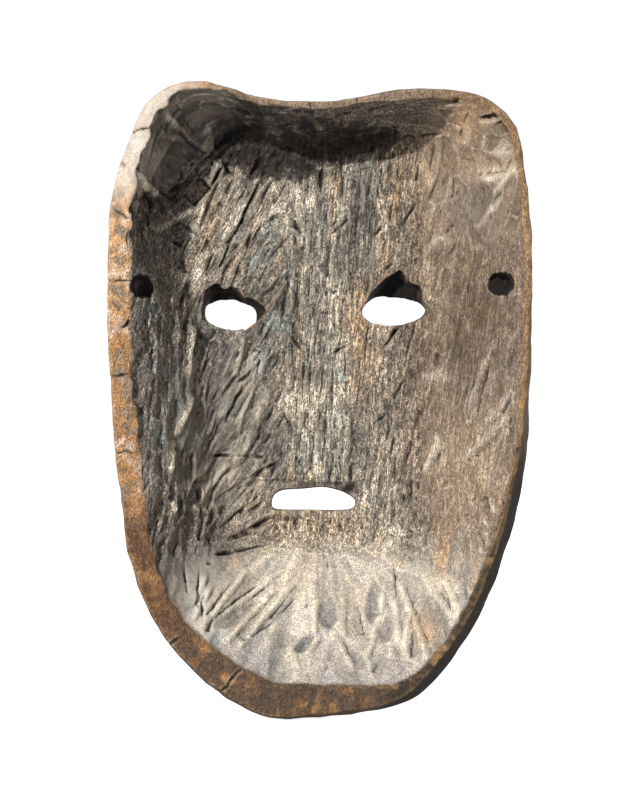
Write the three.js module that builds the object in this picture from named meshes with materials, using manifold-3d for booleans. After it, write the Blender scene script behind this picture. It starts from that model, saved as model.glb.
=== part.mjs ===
// A face mask hollowed and carved from one block of wood. Millimetres, +Z up, the face looks along -Y.
// The back of the rim lies in the plane Y = 0. The origin is on that plane, midway between the two tie holes.
import * as THREE from "three";
import { mergeVertices } from "three/addons/utils/BufferGeometryUtils.js";
import Module from "manifold-3d";

const wasm = await Module();
wasm.setup();

// ---- Driving dimensions ----

const FACE_X = 3; // the face is carved a little off the middle of the block
const CORE = { x: FACE_X, z: -46 }; // where the rings of both surfaces close up
const FLOOR_DEPTH = 47; // from the back plane to the deepest part of the hollow
const FRONT_DEPTH = 61; // from the back plane to the cheeks, before the features
const OUTER_RUN = 47; // how far in from the silhouette the sides go on rounding over
const OUTER_POWER = 1.72; // superellipse power of the sides
const BOXY_RUN = 27; // the same two where the hollow's wall is at its steepest, so the wood stays thick
const BOXY_POWER = 2.15;
const RIM_ROUND = 1.0; // chamfer between the rim's back face and the hollow
const LONG_WALL_POWER = 1.22; // how the hollow's wall curves down where it runs long
const STEEPER = 1.5; // and how much more steeply it starts where it runs short
const SPOKES = 112;

// Stations round the silhouette, clockwise as the wearer sees them, starting at the dip in the top edge.
// Each one: x, z, width of the rim's flat back face, width of the bevel outside it, run of the hollow's wall.
const STATIONS = [
  [-6, 71.9, 2.8, 1.0, 13],
  [-30, 76.0, 3.0, 1.0, 14],
  [-50, 76.7, 3.4, 1.2, 20],
  [-66.5, 72.5, 2.8, 1.2, 29],
  [-76.2, 63, 2.2, 1.0, 32],
  [-80.3, 46, 1.8, 0.8, 33],
  [-82.8, 20, 1.6, 0.8, 34],
  [-83.6, -12, 1.6, 1.2, 35],
  [-83.2, -50, 1.6, 3.2, 36],
  [-81.2, -76.6, 1.8, 4.8, 36],
  [-74.6, -105, 2.0, 5.6, 38],
  [-63.8, -132, 2.2, 6.0, 43],
  [-49.2, -154.2, 2.8, 6.0, 50],
  [-37, -164.8, 4.6, 5.0, 54],
  [-21, -169, 8.0, 3.6, 57],
  [5, -171, 11.6, 2.4, 58],
  [21.5, -171, 12.6, 2.4, 56],
  [43, -159.2, 12, 2.2, 48],
  [64.8, -134.4, 9.4, 1.6, 37],
  [75.2, -107.6, 9, 1.2, 32],
  [79.4, -76, 8.6, 1.0, 30],
  [82.3, -42, 8.2, 1.0, 29],
  [83.8, -6, 8.0, 1.0, 28],
  [82.4, 28, 7.6, 1.0, 21],
  [77.1, 51.3, 7.2, 1.0, 16],
  [67.4, 72.3, 6.4, 1.2, 15],
  [50, 79.8, 2.2, 0.8, 14],
  [38, 78, 2.0, 0.8, 13],
  [22, 73, 2.6, 0.8, 13],
];

// The openings cut through the face: outline points from the middle of each opening, the same number in
// the outline at the front and in the wider one that the pocket behind it is cut to.
const EYE_LEFT = {
  x: 38,
  z: -9.6,
  front: [[-10.8, -2.4], [-10.8, 0.6], [-9.4, 3], [-6, 4.2], [-2, 4.8], [3.4, 4.8], [8, 4.2], [10.6, 2.6],
    [11.4, 0.6], [11, -3.4], [6.6, -6], [-2.6, -7.4], [-8.6, -6]],
  back: [[-13.6, -1], [-15, 2], [-10.1, 6], [-6.5, 6.2], [-3.8, 9.8], [4.5, 10.9], [8.1, 9.6], [8.8, 6.4],
    [9.9, 1.8], [9.5, -2.4], [5.6, -5], [-2.8, -6.9], [-8.5, -5.6]],
};
const EYE_RIGHT = {
  x: -30.5,
  z: -8.4,
  front: [[-14.6, 0.8], [-13.2, 2.2], [-10.8, 3.6], [-6.6, 5], [-2.4, 5.8], [2.4, 6.1], [6.8, 6], [9.2, 4.8],
    [11.1, 3.2], [13, 1.2], [12.4, -2.2], [9.3, -4.8], [1, -6], [-7.8, -5], [-13.4, -2.6]],
  back: [[-13.7, 0.7], [-11.8, 5.4], [-11.2, 9.9], [-6.4, 11.4], [-2.7, 16.2], [3.6, 12.6], [6.2, 10.1],
    [9.3, 7.4], [11.4, 2.9], [13.3, 0.7], [12.4, -2.2], [9.3, -4.6], [1, -5.8], [-7.4, -4.7], [-12.2, -2.3]],
};
const MOUTH = {
  x: 2.6,
  z: -87,
  front: [[-18.6, -0.8], [-15.6, 1.8], [-12, 3.6], [-6.1, 5], [-2.3, 5.2], [4.8, 4.6], [13.2, 4], [17.8, 1.8],
    [18.4, -5.8], [2.1, -6.4], [-11.4, -6.6], [-17.4, -6.2], [-18.2, -5.2]],
  back: [[-17.7, -0.6], [-14.8, 1.6], [-11.6, 3.2], [-6.1, 4.7], [-2.3, 4.9], [4.8, 4.2], [13, 3.7],
    [16.9, 1.6], [17.3, -4], [2.1, -4.4], [-11, -4.5], [-16.2, -4.1], [-17, -3.3]],
};
const POCKET_DEPTH = 51; // the pockets keep their wide outline to here
const POCKET_TAPER = 3.5; // and narrow to the opening over this much more

const TIE_HOLE_RADIUS = 4.1;
const TIE_HOLES = [
  // Where each hole starts in the hollow's wall, how far in it is sunk straight, and the way it leaves.
  { entry: [69.6, 0, -0.8], sunk: 15, towards: [0.77, -0.64, 0] },
  { entry: [-71.2, 0, 0.4], sunk: 17, towards: [-0.97, -0.24, 0] },
];

// ---- The shape of the face ----

const bump = (distance, reach) => Math.exp(-((distance / reach) ** 2));
const clamp01 = (value) => Math.min(1, Math.max(0, value));
const smooth = (value) => clamp01(value) ** 2 * (3 - 2 * clamp01(value));
const between = (value, low, high) => smooth((value - low) / (high - low));

// How far a point of the carved face stands in front of the back plane.
function frontDepth(x, z) {
  const side = Math.abs(x - FACE_X);
  const dome = FRONT_DEPTH - 0.0021 * side ** 2 - 0.0006 * (z + 45) ** 2;
  return dome + brow(side, z) + sockets(side, z) + nose(side, z) + mouth(side, z) + cheeksAndChin(side, z) +
    hairline(side, z);
}

// Two arched brows that meet the root of the nose.
function brow(side, z) {
  const crest = 9 - 0.0042 * (side - 28) ** 2;
  const along = between(side, 2, 10) * (1 - between(side, 52, 66));
  const root = 2.6 * bump(side, 9) * bump(z - 6, 12);
  return 5.6 * bump(z - crest, 6.2) * along + root;
}

// The eyes lie back under the brows, and the lids swell round the openings.
function sockets(side, z) {
  const middle = side - 33;
  const hollow = -6 * bump(Math.hypot(middle / 24, (z + 9) / 15), 1);
  const lids = 4.2 * bump(Math.hypot(middle / 19, (z + 9) / 9.5) - 0.95, 0.42);
  return hollow + lids;
}

// A straight nose, narrow at its root and spreading to the wings.
function nose(side, z) {
  const down = clamp01((4 - z) / 62);
  const ridge = (6.5 + 11 * down ** 1.15) * between(z, -69, -58) * (1 - between(z, -6, 14));
  const halfWidth = 6.5 + 6 * down;
  const wings = 7 * bump(Math.hypot((side - 10.5) / 7, (z + 56) / 8), 1);
  return ridge * bump(side, halfWidth) + wings;
}

// Full lips round the mouth slot.
function mouth(side, z) {
  const ring = Math.hypot(side / 25, (z + 88) / 11.5);
  const lips = 7 * bump(ring - 0.72, 0.42);
  const corners = -2.4 * bump(Math.hypot(side - 29, z + 89), 7);
  return lips + corners;
}

function cheeksAndChin(side, z) {
  const cheek = 4.6 * bump(Math.hypot((side - 44) / 20, (z + 48) / 26), 1);
  const underLip = -3 * bump(Math.hypot(side / 22, (z + 110) / 8), 1);
  const chin = 6.4 * bump(Math.hypot(side / 26, (z + 133) / 16), 1);
  return cheek + underLip + chin;
}

// A low band of hair whose edge dips to the middle of the forehead.
function hairline(side, z) {
  const edge = 45 - 6 * bump(side, 20) - 0.006 * side ** 2;
  return 3.4 * between(z, edge - 3, edge + 2.5);
}

// How far the floor of the hollow lies behind the back plane.
function floorDepth(x, z) {
  return FLOOR_DEPTH - 0.0034 * (x - FACE_X) ** 2 - 0.00035 * (z + 50) ** 2;
}

// ---- Rings of points ----

const silhouette = new THREE.CatmullRomCurve3(
  STATIONS.map(([x, z]) => new THREE.Vector3(x, 0, z)),
  true,
  "centripetal",
);
const widths = new THREE.CatmullRomCurve3(
  STATIONS.map(([, , rim, bevel, run]) => new THREE.Vector3(rim, bevel, run)),
  true,
  "centripetal",
);

// One spoke for each step round the silhouette: its outer point, its inward direction and its widths.
const spokes = Array.from({ length: SPOKES }, (_, i) => {
  const t = silhouette.getUtoTmapping(i / SPOKES);
  const outer = silhouette.getPoint(t);
  const tangent = silhouette.getTangent(t);
  const inward = new THREE.Vector3(-tangent.z, 0, tangent.x);
  if (inward.x * (CORE.x - outer.x) + inward.z * (CORE.z - outer.z) < 0) inward.negate();
  const { x: rim, y: bevel, z: run } = widths.getPoint(t);
  return { outer, inward, rim, bevel, run };
});

const offset = (spoke, distance, depth) => [
  spoke.outer.x + spoke.inward.x * distance,
  -depth,
  spoke.outer.z + spoke.inward.z * distance,
];

// A point between the spoke's foot, distance mm in from the silhouette, and the core.
function towardsCore(spoke, distance, share) {
  const [x, , z] = offset(spoke, distance, 0);
  return [x + (CORE.x - x) * share, z + (CORE.z - z) * share];
}

// How far behind the back plane the silhouette itself lies.
const bevelDepth = (spoke) => 2.2 * spoke.bevel;

const RIM_PART = 0.12; // share of a spoke measured square to the silhouette, before it heads for the core

function spokeLength(spoke) {
  return Math.hypot(spoke.outer.x - CORE.x, spoke.outer.z - CORE.z);
}

// 0 where the hollow's wall runs long, 1 where it drops at its steepest.
const steepness = (spoke) => 1 - between(spoke.run, 13, 30);
const outerRun = (spoke) => OUTER_RUN + (BOXY_RUN - OUTER_RUN) * steepness(spoke);
const outerPower = (spoke) => OUTER_POWER + (BOXY_POWER - OUTER_POWER) * steepness(spoke);

// A ring of the outside, at distance mm in from the silhouette along each spoke's own length.
function outerRing(distanceOf) {
  return spokes.map((spoke) => {
    const length = spokeLength(spoke);
    const distance = distanceOf(spoke, length);
    const square = distance * RIM_PART;
    const [x, z] = towardsCore(spoke, square, (distance - square) / (length - square));
    const rise = clamp01(distance / outerRun(spoke));
    const power = outerPower(spoke);
    const rounding = (1 - (1 - rise) ** power) ** (1 / power);
    const start = bevelDepth(spoke);
    return [x, -(start + (frontDepth(x, z) - start) * rounding), z];
  });
}

// A ring of the hollow, at distance mm in from the rim's inner edge; the wall ends at the spoke's run.
function innerRing(distanceOf) {
  return spokes.map((spoke) => {
    const edge = spoke.bevel + spoke.rim + RIM_ROUND;
    const length = spokeLength(spoke) - edge;
    const distance = distanceOf(spoke, length);
    const [x, z] = towardsCore(spoke, edge, distance / length);
    const rise = clamp01(distance / spoke.run);
    const power = LONG_WALL_POWER + STEEPER * steepness(spoke);
    const drop = 1 - (1 - rise) ** power;
    return [x, -(RIM_ROUND + (floorDepth(x, z) - RIM_ROUND) * drop), z];
  });
}

// ---- Joining the rings into one closed mesh ----

const SIDE_RINGS = 8;
const FRONT_RINGS = 17;
const WALL_RINGS = 7;
const FLOOR_RINGS = 8;

// Rings from the core out to the silhouette, over the rim and back down the hollow to the core.
function ringList() {
  const rings = [];
  for (let i = 1; i < FRONT_RINGS; i++) {
    const share = i / FRONT_RINGS;
    rings.push(outerRing((spoke, length) => length - (length - outerRun(spoke)) * share));
  }
  for (let i = SIDE_RINGS; i > 0; i--) {
    const angle = (i / SIDE_RINGS) * (Math.PI / 2);
    rings.push(outerRing((spoke) => outerRun(spoke) * (1 - Math.cos(angle) ** (2 / outerPower(spoke)))));
  }
  rings.push(spokes.map((spoke) => offset(spoke, 0, bevelDepth(spoke))));
  rings.push(spokes.map((spoke) => offset(spoke, spoke.bevel, 0)));
  rings.push(spokes.map((spoke) => offset(spoke, spoke.bevel + spoke.rim, 0)));
  for (let i = 0; i <= WALL_RINGS; i++) {
    const angle = (i / WALL_RINGS) * (Math.PI / 2);
    rings.push(innerRing((spoke) => spoke.run * (1 - Math.cos(angle))));
  }
  for (let i = 1; i < FLOOR_RINGS; i++) {
    rings.push(innerRing((spoke, length) => spoke.run + (length - spoke.run) * (i / FLOOR_RINGS)));
  }
  return rings;
}

// Near the core a ring keeps every second, fourth or eighth spoke, so that no triangle is a sliver.
function thinned(ring, ringsFromCore) {
  const step = ringsFromCore <= 1 ? 8 : ringsFromCore <= 3 ? 4 : ringsFromCore <= 5 ? 2 : 1;
  return ring.filter((_, i) => i % step === 0);
}

const gap = (p, q) => Math.hypot(p[0] - q[0], p[1] - q[1], p[2] - q[2]);

// Triangles between two rings, of which one may have twice the points of the other.
// A four-sided cell is cut along its shorter diagonal.
function stitch(triangles, first, second) {
  const steps = Math.max(first.length, second.length);
  for (let i = 0; i < steps; i++) {
    const at = (ring, step) => ring[Math.floor(((step % steps) * ring.length) / steps)];
    const [a, b, c, d] = [at(first, i), at(first, i + 1), at(second, i), at(second, i + 1)];
    if (a === b) triangles.push(a, c, d);
    else if (c === d) triangles.push(a, c, b);
    else if (gap(a, d) < gap(b, c)) triangles.push(a, d, b, a, c, d);
    else triangles.push(a, c, b, b, c, d);
  }
}

// A closed surface: a fan from the first point, the bands between the rings, and a fan to the last point.
function closedGeometry(rings, first, last) {
  const triangles = [];
  const next = (ring, i) => ring[(i + 1) % ring.length];
  rings[0].forEach((point, i) => triangles.push(first, point, next(rings[0], i)));
  for (let i = 0; i + 1 < rings.length; i++) stitch(triangles, rings[i], rings[i + 1]);
  const end = rings[rings.length - 1];
  end.forEach((point, i) => triangles.push(last, next(end, i), point));
  const geometry = new THREE.BufferGeometry();
  geometry.setAttribute("position", new THREE.Float32BufferAttribute(triangles.flat(), 3));
  return geometry;
}

function shellGeometry() {
  const full = ringList();
  const rings = full.map((ring, i) => thinned(ring, Math.min(i, full.length - 1 - i)));
  const front = [CORE.x, -frontDepth(CORE.x, CORE.z), CORE.z];
  const back = [CORE.x, -floorDepth(CORE.x, CORE.z), CORE.z];
  return closedGeometry(rings, front, back);
}

// ---- Cutting the openings ----

function solidFrom(geometry) {
  const bare = geometry.index ? geometry.toNonIndexed() : geometry.clone();
  const positions = new THREE.BufferGeometry().setAttribute("position", bare.getAttribute("position"));
  const merged = mergeVertices(positions, 1e-4);
  return new wasm.Manifold(
    new wasm.Mesh({
      numProp: 3,
      vertProperties: merged.attributes.position.array,
      triVerts: new Uint32Array(merged.index.array),
    }),
  );
}

function geometryFrom(solid) {
  const mesh = solid.getMesh();
  const geometry = new THREE.BufferGeometry();
  geometry.setAttribute("position", new THREE.Float32BufferAttribute(mesh.vertProperties, 3));
  geometry.setIndex(new THREE.Uint32BufferAttribute(mesh.triVerts, 1));
  geometry.computeVertexNormals();
  return geometry;
}

const CUT_LENGTH = 120;
const OUTLINE_POINTS = 48;
const OUTLINE_TENSION = 0.22; // low, so that the corners stay crisp

// A closed, smooth ring through an opening's outline, at one depth.
function outlineRing({ x, z }, outline, depth) {
  const points = outline.map(([px, pz]) => new THREE.Vector3(px, pz, 0));
  const curve = new THREE.CatmullRomCurve3(points, true, "catmullrom", OUTLINE_TENSION);
  return Array.from({ length: OUTLINE_POINTS }, (_, i) => {
    const point = curve.getPoint(i / OUTLINE_POINTS);
    return [x + point.x, -depth, z + point.y];
  });
}

// An opening through the face along Y: the wide outline from behind, then the narrow one to the front.
function openingCutter(opening) {
  const { x, z, front, back } = opening;
  const rings = [
    outlineRing(opening, back, 0),
    outlineRing(opening, back, POCKET_DEPTH),
    outlineRing(opening, front, POCKET_DEPTH + POCKET_TAPER),
    outlineRing(opening, front, CUT_LENGTH),
  ];
  return closedGeometry(rings, [x, 0, z], [x, -CUT_LENGTH, z]);
}

// A round bar of the tie holes' size, from one point to another.
function bar(from, to) {
  const along = to.clone().sub(from);
  const geometry = new THREE.CylinderGeometry(TIE_HOLE_RADIUS, TIE_HOLE_RADIUS, along.length(), 20);
  const middle = from.clone().add(to).divideScalar(2);
  const up = new THREE.Vector3(0, 1, 0);
  geometry.applyQuaternion(new THREE.Quaternion().setFromUnitVectors(up, along.normalize()));
  return geometry.translate(middle.x, middle.y, middle.z);
}

// A tie hole is sunk straight into the hollow's wall, then runs slantwise out through the mask's side.
function tieHoleCutters({ entry, sunk, towards }) {
  const reach = 60;
  const start = new THREE.Vector3(...entry);
  const bottom = start.clone().add(new THREE.Vector3(0, -sunk, 0));
  const turn = start.clone().add(new THREE.Vector3(0, TIE_HOLE_RADIUS - sunk, 0));
  return [bar(start, bottom), bar(turn, turn.clone().addScaledVector(new THREE.Vector3(...towards), reach))];
}

const cutters = [
  openingCutter(EYE_LEFT),
  openingCutter(EYE_RIGHT),
  openingCutter(MOUTH),
  ...TIE_HOLES.flatMap(tieHoleCutters),
];
const blank = solidFrom(shellGeometry());
const carved = cutters.reduce((solid, cutter) => solid.subtract(solidFrom(cutter)), blank);

// ---- The part ----

const agedWood = new THREE.MeshStandardMaterial({ color: 0x7a6650, roughness: 0.82, metalness: 0 });
const mask = new THREE.Mesh(geometryFrom(carved), agedWood);
mask.name = "mask";

const part = new THREE.Group();
part.add(mask);
export default part;
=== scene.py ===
"""A face mask carved from one block of wood, seen from its hollow side and built on its CAD frame."""

import math

import bpy
import numpy as np
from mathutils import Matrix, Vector
from mathutils.bvhtree import BVHTree


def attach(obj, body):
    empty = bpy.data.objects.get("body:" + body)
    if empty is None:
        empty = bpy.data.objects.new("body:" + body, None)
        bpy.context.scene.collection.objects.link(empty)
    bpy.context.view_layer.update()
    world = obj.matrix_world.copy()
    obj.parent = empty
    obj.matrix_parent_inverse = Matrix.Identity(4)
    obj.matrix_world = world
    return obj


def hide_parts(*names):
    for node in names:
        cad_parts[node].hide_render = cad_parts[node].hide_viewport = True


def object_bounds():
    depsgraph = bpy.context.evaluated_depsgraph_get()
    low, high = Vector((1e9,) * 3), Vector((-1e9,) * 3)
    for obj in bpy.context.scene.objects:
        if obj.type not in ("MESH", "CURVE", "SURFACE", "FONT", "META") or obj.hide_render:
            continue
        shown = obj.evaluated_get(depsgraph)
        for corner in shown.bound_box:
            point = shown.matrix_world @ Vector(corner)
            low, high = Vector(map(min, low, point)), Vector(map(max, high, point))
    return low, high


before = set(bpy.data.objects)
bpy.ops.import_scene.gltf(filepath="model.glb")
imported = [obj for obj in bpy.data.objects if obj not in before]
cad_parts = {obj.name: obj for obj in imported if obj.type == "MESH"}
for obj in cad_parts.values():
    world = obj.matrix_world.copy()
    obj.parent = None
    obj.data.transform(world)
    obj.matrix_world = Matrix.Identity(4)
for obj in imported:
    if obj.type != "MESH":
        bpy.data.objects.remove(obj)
cad_low, cad_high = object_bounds()
rng = np.random.default_rng(11)

MM = 0.001  # the frame is in metres, and every size below is in millimetres


# ---------------------------------------------------------------- camera, floor and light

CAMERA_DISTANCE = 650  # from the rim's back face
CAMERA_HEIGHT = -45.6  # the middle of the view, below the line of the tie holes
LENS = 75
SENSOR = 36


def make_camera():
    data = bpy.data.cameras.new("camera")
    data.lens = LENS
    data.sensor_fit = "VERTICAL"
    data.sensor_height = SENSOR
    camera = bpy.data.objects.new("camera", data)
    camera.location = Vector((0, CAMERA_DISTANCE, CAMERA_HEIGHT)) * MM
    camera.rotation_euler = (math.radians(90), 0, math.radians(180))
    bpy.context.scene.collection.objects.link(camera)
    bpy.context.scene.camera = camera


def area_light(name, direction, distance, size, power, colour=(1, 1, 1)):
    """A square light that shines at the middle of the mask from a direction, at a distance in metres."""
    data = bpy.data.lights.new(name, "AREA")
    data.size = size
    data.energy = power
    data.color = colour
    light = bpy.data.objects.new(name, data)
    middle = (cad_low + cad_high) / 2
    towards = Vector(direction).normalized()
    light.location = middle + towards * distance
    light.rotation_euler = towards.to_track_quat("Z", "Y").to_euler()
    bpy.context.scene.collection.objects.link(light)


def make_floor():
    """A plain pale floor that glows a little for the camera, so that it meets the white surround."""
    half = 6.0
    z = cad_low.z
    mesh = bpy.data.meshes.new("floor")
    corners = [(-half, -half, z), (half, -half, z), (half, half, z), (-half, half, z)]
    mesh.from_pydata(corners, [], [(0, 1, 2, 3)])
    floor = bpy.data.objects.new("floor", mesh)
    bpy.context.scene.collection.objects.link(floor)
    material = bpy.data.materials.new("pale_floor")
    material.use_nodes = True
    nodes, links = material.node_tree.nodes, material.node_tree.links
    shader = nodes["Principled BSDF"]
    shader.inputs["Base Color"].default_value = (0.6, 0.6, 0.6, 1)
    shader.inputs["Roughness"].default_value = 0.9
    shader.inputs["Emission Color"].default_value = (1, 1, 1, 1)
    seen = nodes.new("ShaderNodeLightPath")
    glow = nodes.new("ShaderNodeMath")
    glow.operation = "MULTIPLY"
    glow.inputs[1].default_value = 0.9
    links.new(seen.outputs["Is Camera Ray"], glow.inputs[0])
    links.new(glow.outputs[0], shader.inputs["Emission Strength"])
    mesh.materials.append(material)


def make_world():
    """A white surround that the camera sees bright and that lights the mask only softly."""
    world = bpy.data.worlds.new("studio")
    bpy.context.scene.world = world
    world.use_nodes = True
    nodes, links = world.node_tree.nodes, world.node_tree.links
    surround = nodes["Background"]
    surround.inputs["Color"].default_value = (1, 1, 1, 1)
    surround.inputs["Strength"].default_value = 1.05
    soft = nodes.new("ShaderNodeBackground")
    soft.inputs["Color"].default_value = (0.93, 0.96, 1, 1)
    soft.inputs["Strength"].default_value = 0.27
    seen = nodes.new("ShaderNodeLightPath")
    mix = nodes.new("ShaderNodeMixShader")
    links.new(seen.outputs["Is Camera Ray"], mix.inputs[0])
    links.new(soft.outputs[0], mix.inputs[1])
    links.new(surround.outputs[0], mix.inputs[2])
    links.new(mix.outputs[0], nodes["World Output"].inputs[0])


make_camera()
make_floor()
make_world()
area_light("key", (0.44, 0.84, 0.36), 2.4, 0.05, 62, (1.0, 0.985, 0.96))
area_light("front_fill", (-0.5, -0.8, 0.5), 1.6, 1.2, 16, (1.0, 0.98, 0.96))
bpy.context.scene.view_settings.view_transform = "Standard"


# ---------------------------------------------------------------- noise and small helpers


# Large odd numbers that scramble a cell's place and a seed.
SCRAMBLE_CELL = (374761393, 668265263, 2147483647)
SCRAMBLE_SEED = 974634777
SCRAMBLE_AGAIN = 1274126177
LOW_BITS = 0xFFFFFF
HALF_OF_THEM = 0x7FFFFF


def lattice(cells, seed):
    """A pseudo-random number from -1 to 1 for each whole-numbered cell."""
    mixed = sum(cells[:, axis] * SCRAMBLE_CELL[axis] for axis in range(3)) + seed * SCRAMBLE_SEED
    mixed = (mixed ^ (mixed >> 13)) * SCRAMBLE_AGAIN
    mixed = (mixed ^ (mixed >> 16)) & LOW_BITS
    return mixed / HALF_OF_THEM - 1


def noise(points, period, seed=0):
    """Smooth value noise from -1 to 1; period is one length in mm, or one for each axis."""
    scaled = points / np.asarray(period, float)
    low = np.floor(scaled)
    part = scaled - low
    part = part * part * (3 - 2 * part)
    low = low.astype(np.int64)
    total = np.zeros(len(points))
    for dx in (0, 1):
        weight_x = part[:, 0] if dx else 1 - part[:, 0]
        for dy in (0, 1):
            weight_y = weight_x * (part[:, 1] if dy else 1 - part[:, 1])
            for dz in (0, 1):
                weight = weight_y * (part[:, 2] if dz else 1 - part[:, 2])
                total += weight * lattice(low + (dx, dy, dz), seed)
    return total


def layered(points, period, octaves, seed=0):
    """Noise in octaves, each half the size of the one before."""
    total, share = np.zeros(len(points)), 1.0
    for octave in range(octaves):
        total += share * noise(points, np.asarray(period, float) / 2**octave, seed + 17 * octave)
        share *= 0.5
    return total / (2 - 2 ** (1 - octaves))


def ramp(values, low, high):
    """0 below low, 1 above high, and smooth between; low may be the greater one."""
    part = np.clip((values - low) / (high - low), 0, 1)
    return part * part * (3 - 2 * part)


def blob(points, x, z, reach_x, reach_z):
    """A soft oval spot in the XZ plane, 1 in its middle."""
    return np.exp(-(((points[:, 0] - x) / reach_x) ** 2) - ((points[:, 2] - z) / reach_z) ** 2)


# ---------------------------------------------------------------- the mesh and its neighbours


class Surface:
    """The mask's vertices in mm, with averages over neighbouring vertices."""

    def __init__(self, mesh):
        self.mesh = mesh
        count = len(mesh.vertices)
        flat = np.empty(count * 3, np.float32)
        mesh.vertices.foreach_get("co", flat)
        self.points = flat.reshape(-1, 3).astype(float) / MM
        ends = np.empty(len(mesh.edges) * 2, np.int32)
        mesh.edges.foreach_get("vertices", ends)
        ends = ends.reshape(-1, 2)
        self.starts = np.concatenate([ends[:, 0], ends[:, 1]])
        self.stops = np.concatenate([ends[:, 1], ends[:, 0]])
        self.degree = np.maximum(np.bincount(self.starts, minlength=count), 1)

    def mean(self, values, rounds=1):
        """Each vertex's value replaced by its neighbours' mean, several times over."""
        for _ in range(rounds):
            columns = values.reshape(len(values), -1)
            summed = [
                np.bincount(self.starts, columns[self.stops, i], len(values)) / self.degree
                for i in range(columns.shape[1])
            ]
            values = np.stack(summed, axis=1).reshape(values.shape)
        return values

    def write(self):
        self.mesh.vertices.foreach_set("co", (self.points * MM).astype(np.float32).ravel())
        self.mesh.update()

    def normals(self):
        self.write()
        flat = np.empty(len(self.points) * 3, np.float32)
        self.mesh.vertices.foreach_get("normal", flat)
        return flat.reshape(-1, 3).astype(float)

    def relax(self, rounds, weight):
        """Moves each vertex towards its neighbours' mean by a weight of its own."""
        for _ in range(rounds):
            self.points += (self.mean(self.points) - self.points) * weight[:, None]


def unit(vectors):
    return vectors / np.maximum(np.linalg.norm(vectors, axis=-1, keepdims=True), 1e-9)


VOXEL = 0.7


def fine_copy_of_cad():
    """A new object with the CAD mask's shape in an even, fine mesh."""
    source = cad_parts["mask"]
    rough = bpy.data.objects.new("rough", source.data.copy())
    bpy.context.scene.collection.objects.link(rough)
    remesh = rough.modifiers.new("remesh", "REMESH")
    remesh.mode = "VOXEL"
    remesh.voxel_size = VOXEL * MM
    depsgraph = bpy.context.evaluated_depsgraph_get()
    mesh = bpy.data.meshes.new_from_object(rough.evaluated_get(depsgraph))
    bpy.data.objects.remove(rough)
    mesh.name = "carved_mask"
    mesh.materials.clear()
    piece = bpy.data.objects.new("carved_mask", mesh)
    bpy.context.scene.collection.objects.link(piece)
    return piece


piece = fine_copy_of_cad()
skin = Surface(piece.data)


def find_edges(surface):
    """1 along sharp edges of the bare shape, 0 well away from them."""
    normals = surface.mean(surface.normals(), 2)
    bend = 1 - np.linalg.norm(normals, axis=1)
    sharp = (bend > 0.05).astype(float)
    return np.clip(surface.mean(sharp, 3) * 3, 0, 1)


sharp_edges = find_edges(skin)
skin.relax(34, 0.5 * (1 - 0.93 * sharp_edges))
normals = unit(skin.mean(skin.normals(), 5))

# The middle line of the mask, from which "inward" is told.
SPINE_X = 3
SPINE_TOP = 15
SPINE_BOTTOM = -95
spine = np.zeros_like(skin.points)
spine[:, 0] = SPINE_X
spine[:, 2] = np.clip(skin.points[:, 2], SPINE_BOTTOM, SPINE_TOP)
inward = spine - skin.points
inward[:, 1] = 0
inward = unit(inward)


def hollow_side(points):
    """True on the shell's side towards the wearer, told from the middle of the wood below each point."""
    cell = 2.0
    column = np.round(points[:, [0, 2]] / cell).astype(int)
    column -= column.min(0)
    width = column[:, 1].max() + 1
    index = column[:, 0] * width + column[:, 1]
    top = np.full(index.max() + 1, -1e3)
    bottom = np.full(index.max() + 1, 1e3)
    np.maximum.at(top, index, points[:, 1])
    np.minimum.at(bottom, index, points[:, 1])
    middle = (top + bottom) / 2
    facing = (np.sum(normals * inward, axis=1) > -0.35) | (normals[:, 1] > 0.75)
    return (points[:, 1] > middle[index]) & facing


inside = hollow_side(skin.points).astype(float)
rim = ((skin.points[:, 1] > -0.8) & (normals[:, 1] > 0.6)).astype(float)
rim = np.clip(skin.mean(rim, 1) * 1.2, 0, 1)
hollow = np.clip(skin.mean(inside * (1 - rim), 3), 0, 1)
front = 1 - np.clip(skin.mean(np.maximum(inside, rim), 3), 0, 1)


def wood_below(vertices):
    """How much wood lies straight under each of some vertices, in mm."""
    tree = BVHTree.FromPolygons(
        [tuple(p) for p in skin.points], [tuple(f.vertices) for f in skin.mesh.polygons]
    )
    deep = np.full(len(skin.points), 20.0)
    for vertex in vertices:
        inwards = Vector(-normals[vertex])
        start = Vector(skin.points[vertex]) + inwards * 0.4
        hit = tree.ray_cast(start, inwards, 20)
        if hit[0] is not None:
            deep[vertex] = hit[3] + 0.4
    return deep


thickness = wood_below(np.flatnonzero(hollow > 0.5))
thickness = np.minimum(thickness, skin.mean(thickness, 4))
print("vertices", len(skin.points), "thinnest wood", round(float(thickness.min()), 1))


# ---------------------------------------------------------------- the tool marks inside

BOWL_TOP = (0, -92)


def heading_from(centre, x, z):
    """The heading of a stroke that points at a centre above it."""
    return math.degrees(math.atan2(x - centre[0], centre[1] - z))


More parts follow.
